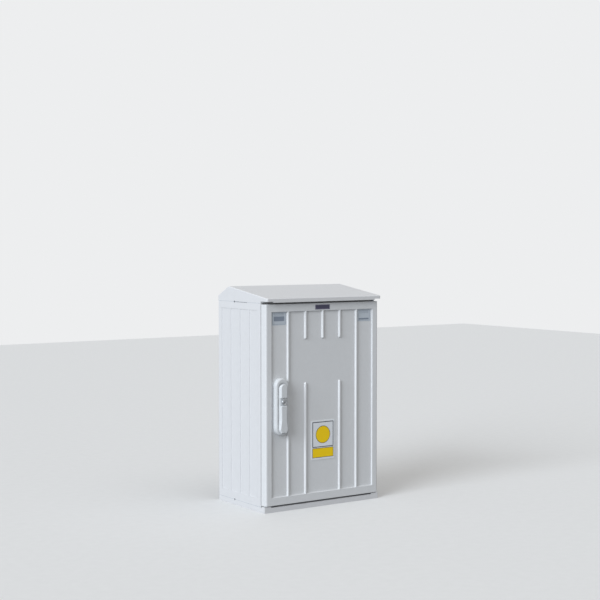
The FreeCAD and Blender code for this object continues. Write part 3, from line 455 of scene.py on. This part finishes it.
def make_sign():
    """Sign plate on the sunk field, bare but for a border, a disc and a plain lower panel."""
    left, right, low, high = SIGN_EDGES
    slab("sign_plate", SIGN_EDGES, FIELD_FRONT, SIGN_THICKNESS, SIGN_CORNER, SIGN_BEVEL,
         FILM_WHITE, *ON_DOOR)
    face = FIELD_FRONT - SIGN_THICKNESS
    ink_face = face - SIGN_INK
    inner_left, inner_right = left + SIGN_MARGIN, right - SIGN_MARGIN
    upper = (inner_left, inner_right, SIGN_SPLIT + SIGN_HALF_GAP, high - SIGN_MARGIN)
    lower = (inner_left, inner_right, low + SIGN_FOOT, SIGN_SPLIT - SIGN_HALF_GAP)
    line_frame("sign_border", upper, face, SIGN_INK, UPPER_LINE, UPPER_CORNER,
               FILM_DARK, *ON_DOOR)
    slab("sign_lower_panel", lower, face, SIGN_INK, LOWER_CORNER, INK_BEVEL,
         FILM_YELLOW, *ON_DOOR)
    line_frame("sign_lower_border", lower, ink_face, SIGN_INK, LOWER_LINE, LOWER_CORNER,
               FILM_DARK, *ON_DOOR)
    middle = (left + right) / 2
    level = (SIGN_SPLIT + high - SIGN_MARGIN) / 2
    for name, radius, back, material in (
            ("sign_disc", DISC_RIM_RADIUS, face, FILM_DARK),
            ("sign_disc_face", DISC_RADIUS, ink_face, FILM_YELLOW)):
        lathe(name, [(radius, 0), (radius, SIGN_INK)], (middle, back, level), FORWARD,
              material, *ON_DOOR, steps=DISC_STEPS)


# The foil labels in millimetres: left, right, low and high edge, then the low and high edge of
# the plain panel over the label's border
LABELS = {
    "left": ((-174.0, -126.0, 527.6, 565.0), (9.0, 22.0)),
    "right": ((123.7, 173.2, 529.2, 565.0), (2.5, 7.0)),
}
LABEL_FILM = 0.2 * MM
LABEL_INK = 0.05 * MM
LABEL_CORNER = 1.2 * MM
LABEL_BEVEL = 0.05 * MM
LABEL_MARGIN = 2.5 * MM
LABEL_LINE = 0.6 * MM
LABEL_LINE_CORNER = 0.8 * MM
RULES = 3
RULE_STEP = 3 * MM
RULE_HEIGHT = 0.8 * MM
RULE_INSET = 5 * MM
RULE_CORNER = 0.2 * MM
PANEL_INSET = 4 * MM
PANEL_CORNER = 0.4 * MM

# The name plate on the door's top band
NAME_PLATE_EDGES = (-28.5 * MM, 22.5 * MM, 568.6 * MM, 582.6 * MM)
NAME_PLATE_THICKNESS = 0.4 * MM
NAME_PLATE_CORNER = 1.2 * MM
NAME_PLATE_BEVEL = 0.15 * MM
NAME_PLATE_LINE = 1.6 * MM


def make_labels():
    """Two foil labels at the top of the field and the plate on the top band, all blank."""
    face = FIELD_FRONT - LABEL_FILM
    for side, (edges, panel) in LABELS.items():
        edges = [edge * MM for edge in edges]
        slab(f"label_{side}", edges, FIELD_FRONT, LABEL_FILM, LABEL_CORNER, LABEL_BEVEL,
             FOIL, *ON_DOOR)
        left, right = edges[0] + LABEL_MARGIN, edges[1] - LABEL_MARGIN
        low, high = edges[2] + LABEL_MARGIN, edges[3] - LABEL_MARGIN
        line_frame(f"label_{side}_border", (left, right, low, high), face, LABEL_INK,
                   LABEL_LINE, LABEL_LINE_CORNER, FOIL_INK, *ON_DOOR)
        for row in range(RULES):
            level = high - (row + 1) * RULE_STEP
            rule = (left + RULE_INSET, right - RULE_INSET, level, level + RULE_HEIGHT)
            slab(f"label_{side}_rule_{row}", rule, face, LABEL_INK, RULE_CORNER, INK_BEVEL,
                 FOIL_INK, *ON_DOOR)
        field = (left + PANEL_INSET, right - PANEL_INSET, low + panel[0] * MM, low + panel[1] * MM)
        slab(f"label_{side}_panel", field, face, LABEL_INK, PANEL_CORNER, INK_BEVEL,
             FOIL_INK, *ON_DOOR)
    slab("name_plate", NAME_PLATE_EDGES, DOOR_FRONT, NAME_PLATE_THICKNESS, NAME_PLATE_CORNER,
         NAME_PLATE_BEVEL, PLATE_DARK, *ON_DOOR)
    line_frame("name_plate_border", NAME_PLATE_EDGES, DOOR_FRONT - NAME_PLATE_THICKNESS, LABEL_INK,
               NAME_PLATE_LINE, NAME_PLATE_CORNER, PLATE_EDGE, *ON_DOOR)


# Hole shades, joint lines, slots and the keyhole stand this far out of their surface
PROUD = 0.04 * MM
STRIP_ROOT = 0.5 * MM
JOINT_HALF = 0.3 * MM
JOINT_SHORT = 4 * MM
SLOT_FRONT = -33 * MM
SLOT_HEIGHT = 1.0 * MM
HOLE_SHADE_PLACE = 35 * MM
HOLE_SHADE_PROFILE = [(2.6 * MM, -1 * MM), (2.6 * MM, 0.02 * MM), (1.8 * MM, PROUD)]
HOLE_SHADE_STEPS = 20


def seam_strip(name, side, front, back, low, high, material):
    """A thin dark strip in a side wall, used for joint lines and for the painted shade inside a slot.
    """
    wall = side * HALF_WIDTH
    outline = ((front, low), (back, low), (back, high), (front, high))
    rings = [[(wall + side * out, along, up) for along, up in outline]
             for out in (-STRIP_ROOT, PROUD)]
    points, faces = stack_rings(rings)
    piece_from(name, points, faces, material, *ON_CABINET)


def make_seam_details():
    """Dark discs of painted shade for small holes on the seams of both side walls, with the joint
    lines and the painted shade inside the roof's slot.
    """
    for side, word in ((-1, "left"), (1, "right")):
        for seam, level in (("roof", roof[0][2]), ("base", left_wall[0][2])):
            # Painted shade: a dark disc stands for the inside of a small hole on the seam.
            lathe(f"{seam}_seam_{word}_plug", HOLE_SHADE_PROFILE,
                  (side * HALF_WIDTH, HOLE_SHADE_PLACE, level), (side, 0, 0), RECESS,
                  *ON_CABINET, steps=HOLE_SHADE_STEPS)
            seam_strip(f"{seam}_seam_{word}_joint", side, left_wall[0][1],
                       left_wall[1][1] - JOINT_SHORT, level - JOINT_HALF, level + JOINT_HALF, SEAM)
        # Painted shade: a dark strip stands for the inside of the roof's slot.
        seam_strip(f"roof_seam_{word}_slot", side, SLOT_FRONT, HOLE_SHADE_PLACE,
                   roof[0][2] - SLOT_HEIGHT, roof[0][2], RECESS)


# Pan head screw: radius and height of each ring as shares of the head's radius
SCREW_PROFILE = (
    (0.98, 0), (1, 0.12), (0.94, 0.34), (0.76, 0.52),
    (0.52, 0.60), (0.42, 0.60), (0.40, 0.30), (0.10, 0.26),
)
SOCKET_RINGS = (5, 6)
CASE_SCREW_HEAD = 4.2 * MM
CASE_SCREW_INSET = 9 * MM
GUIDE_SCREW_HEAD = 3.4 * MM


def screw(name, centre, head):
    """Pan head screw with a six-lobed socket, on the inside of the door."""
    profile = [(head * reach, head * rise) for reach, rise in SCREW_PROFILE]
    return lathe(name, profile, centre, BACKWARD, STEEL, "door", "steel", lobed=SOCKET_RINGS)


def make_screws():
    """Screws that hold the lock case and the rod guides to the door."""
    rear = case[1][1]
    middle = (case[0][0] + case[1][0]) / 2
    for number, level in enumerate((case[0][2] + CASE_SCREW_INSET, case[1][2] - CASE_SCREW_INSET)):
        screw(f"case_screw_{number}", (middle, rear, level), CASE_SCREW_HEAD)
    for name in ("rod_guide_upper", "rod_guide_lower"):
        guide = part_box(name)
        level = (guide[0][2] + guide[1][2]) / 2
        screw(f"{name}_screw", (middle, guide[1][1], level), GUIDE_SCREW_HEAD)


# The lever's sloping flanks in millimetres: height over its lower end, then half the width at
# the back and at the front
FLANK_FOOT = ((1, 8.0, 7.0), (4, 11.6, 9.8), (9, 13.9, 11.8), (22, 13.4, 10.3), (36, 13.0, 8.8))
FLANK_WIDE = 13.2 * MM
FLANK_NARROW = 9.6 * MM
FLANK_HIGH = 350.0 * MM
FLANK_WALL = 2 * MM
FLANK_LIFT = 0.05 * MM
BROW_DEPTH = 2.6 * MM
WINDOW_LOW = 302.4 * MM
WINDOW_HIGH = 324.0 * MM
WINDOW_SLOPE = 0.5 * MM
WINDOW_FLOOR = 3 * MM
HEEL_START = 354.3 * MM
HEEL_SLOPE = 0.586
HEAD_OVER = 1.2 * MM
HEAD_UNDER = 0.4 * MM
HEAD_STEPS = 12


def flank_back(up):
    """Rear edge of the flanks, which rises with the relief of the lever's heel."""
    return lever[1][1] - FLANK_LIFT - max(0.0, up - HEEL_START) * HEEL_SLOPE


def flank_front(up):
    """Front edge of the flanks, which drops to the floor of the lock's window."""
    if WINDOW_LOW <= up <= WINDOW_HIGH:
        return lever[1][1] - WINDOW_FLOOR
    return lever[0][1] + BROW_DEPTH


def lever_ring(sides, head_top, head_half, depth):
    """Closed outline of the lever: (height, half width) pairs, then the round head."""
    centre = (lever[0][0] + lever[1][0]) / 2
    head = []
    for step in range(1, HEAD_STEPS):
        angle = TURN / 2 * step / HEAD_STEPS
        head.append((head_top - head_half + head_half * math.sin(angle),
                     head_half * math.cos(angle)))
    far_side = [(up, -half) for up, half in reversed(sides)]
    return [(centre + across, depth(up), up) for up, across in sides + head + far_side]


def make_lever_skirt():
    """Sloping flanks that widen the lever towards the trough, low where the lock sits."""
    foot, top = lever[0][2], lever[1][2]
    wide = [(foot + up * MM, half * MM) for up, half, _ in FLANK_FOOT]
    narrow = [(foot + up * MM, half * MM) for up, _, half in FLANK_FOOT]
    for up in (WINDOW_LOW - WINDOW_SLOPE, WINDOW_LOW, WINDOW_HIGH, WINDOW_HIGH + WINDOW_SLOPE,
               FLANK_HIGH):
        wide.append((up, FLANK_WIDE))
        narrow.append((up, FLANK_NARROW))
    inside = [(up, half - FLANK_WALL) for up, half in narrow]
    rings = [
        lever_ring(wide, top + HEAD_OVER, FLANK_WIDE, flank_back),
        lever_ring(narrow, top - HEAD_UNDER, FLANK_NARROW, flank_front),
        lever_ring(inside, top - HEAD_UNDER - FLANK_WALL, FLANK_NARROW - FLANK_WALL, flank_back),
    ]
    points, faces = close_rings(rings)
    piece_from("lever_skirt", points, faces, HANDLE, "lever", "handle_plastic")


# The keyhole in the plug, and the barrel's rim as radius and depth behind the barrel's face
KEYHOLE_HALF = 0.9 * MM
KEYHOLE_BELOW = 3.6 * MM
KEYHOLE_ABOVE = 1.2 * MM
KEYHOLE_ROOT = 0.2 * MM
KEYHOLE_CORNER = 0.6 * MM
RIM_PROFILE = ((8.5, 1.0), (8.5, -0.1), (8.0, -0.6), (6.3, -0.6), (5.6, 0.0), (5.6, 1.0))
RIM_STEPS = 40


def make_keyway():
    """Keyhole in the face of the turning plug, painted as a dark slab of shade, and the barrel's
    raised bright rim.
    """
    middle = (plug[0][0] + plug[1][0]) / 2
    level = (plug[0][2] + plug[1][2]) / 2
    keyhole = (middle - KEYHOLE_HALF, middle + KEYHOLE_HALF,
               level - KEYHOLE_BELOW, level + KEYHOLE_ABOVE)
    # Painted shade: a dark slab on the plug's face stands for the inside of the keyhole.
    slab("key_slot", keyhole, plug[0][1] + KEYHOLE_ROOT, KEYHOLE_ROOT + PROUD, KEYHOLE_CORNER,
         INK_BEVEL, RECESS, "plug", "chrome")
    rings = []
    for radius, depth in RIM_PROFILE:
        ring = []
        for step in range(RIM_STEPS):
            angle = TURN * step / RIM_STEPS
            ring.append((middle + radius * MM * math.cos(angle), barrel[0][1] + depth * MM,
                         level + radius * MM * math.sin(angle)))
        rings.append(ring)
    points, faces = close_rings(rings)
    piece_from("barrel_rim", points, faces, NICKEL, "lever", "chrome")


def make_floor():
    """Plain pale floor."""
    mesh = bpy.data.meshes.new("floor")
    mesh.from_pydata([(-FLOOR_REACH, -FLOOR_REACH, 0), (FLOOR_REACH, -FLOOR_REACH, 0),
                      (FLOOR_REACH, FLOOR_REACH, 0), (-FLOOR_REACH, FLOOR_REACH, 0)],
                     [], [(0, 1, 2, 3)])
    mesh.materials.append(plain_floor("studio_floor"))
    floor = bpy.data.objects.new("floor", mesh)
    bpy.context.collection.objects.link(floor)


# Strength of the surroundings as light on the object, and as the camera sees them. A glossy
# reflection sees a small share of the difference.
SURROUND_LIGHT = 0.44
SURROUND_SEEN = 0.92
GLOSSY_SHARE = 0.2


def make_world():
    """Even pale surroundings, palest where the camera sees them."""
    world = bpy.data.worlds.new("studio")
    bpy.context.scene.world = world
    world.use_nodes = True
    tree = world.node_tree
    tree.nodes.clear()
    path = add_node(tree, "ShaderNodeLightPath")
    mirrored = add_node(tree, "ShaderNodeMath", {
        0: path.outputs["Is Glossy Ray"], 1: GLOSSY_SHARE}, operation="MULTIPLY")
    seen = add_node(tree, "ShaderNodeMath", {
        0: path.outputs["Is Camera Ray"], 1: mirrored.outputs["Value"]}, operation="MAXIMUM")
    level = add_node(tree, "ShaderNodeMapRange", {
        "Value": seen.outputs["Value"], "To Min": SURROUND_LIGHT, "To Max": SURROUND_SEEN})
    sky = add_node(tree, "ShaderNodeBackground", {
        "Color": linear("#f6f7f8"), "Strength": level.outputs["Result"]})
    add_node(tree, "ShaderNodeOutputWorld", {"Surface": sky.outputs["Background"]})


def soft_light(name, towards, angle, strength, hex_colour):
    """A large soft source, given by the direction that it lies in."""
    data = bpy.data.lights.new(name, "SUN")
    data.energy = strength
    data.angle = math.radians(angle)
    data.color = linear(hex_colour)[:3]
    lamp = bpy.data.objects.new(name, data)
    lamp.rotation_mode = "QUATERNION"
    lamp.rotation_quaternion = Vector(towards).to_track_quat("Z", "Y")
    bpy.context.collection.objects.link(lamp)


# The photograph's camera, from a fit to the edges of the shell
CAMERA_PLACE = (-2.1435, -3.1340, 0.7586)
CAMERA_HEADING = math.radians(34.396)
CAMERA_DOWN = math.radians(2.534)
FRAME_PIXELS = 600
FOCAL_PIXELS = 1288.0
SHIFT_PIXELS = 1
SENSOR_WIDTH = 36.0


def make_camera():
    """Camera at the photograph's place."""
    data = bpy.data.cameras.new("camera")
    data.sensor_width = SENSOR_WIDTH
    data.lens = FOCAL_PIXELS / FRAME_PIXELS * SENSOR_WIDTH
    data.shift_x = SHIFT_PIXELS / FRAME_PIXELS
    camera = bpy.data.objects.new("camera", data)
    camera.location = CAMERA_PLACE
    camera.rotation_euler = (TURN / 4 - CAMERA_DOWN, 0.0, -CAMERA_HEADING)
    bpy.context.collection.objects.link(camera)
    bpy.context.scene.camera = camera


finish_nodes()
make_sign()
make_labels()
make_seam_details()
make_screws()
make_lever_skirt()
make_keyway()
make_floor()
make_world()
soft_light("window_left", towards=(-0.9, -0.29, 0.38), angle=36, strength=2.72,
           hex_colour="#f2f8ff")
soft_light("lamp_above", towards=(0.15, -0.25, 1.0), angle=60, strength=0.62,
           hex_colour="#fffaf5")
make_camera()

bpy.context.scene.view_settings.view_transform = "Standard"
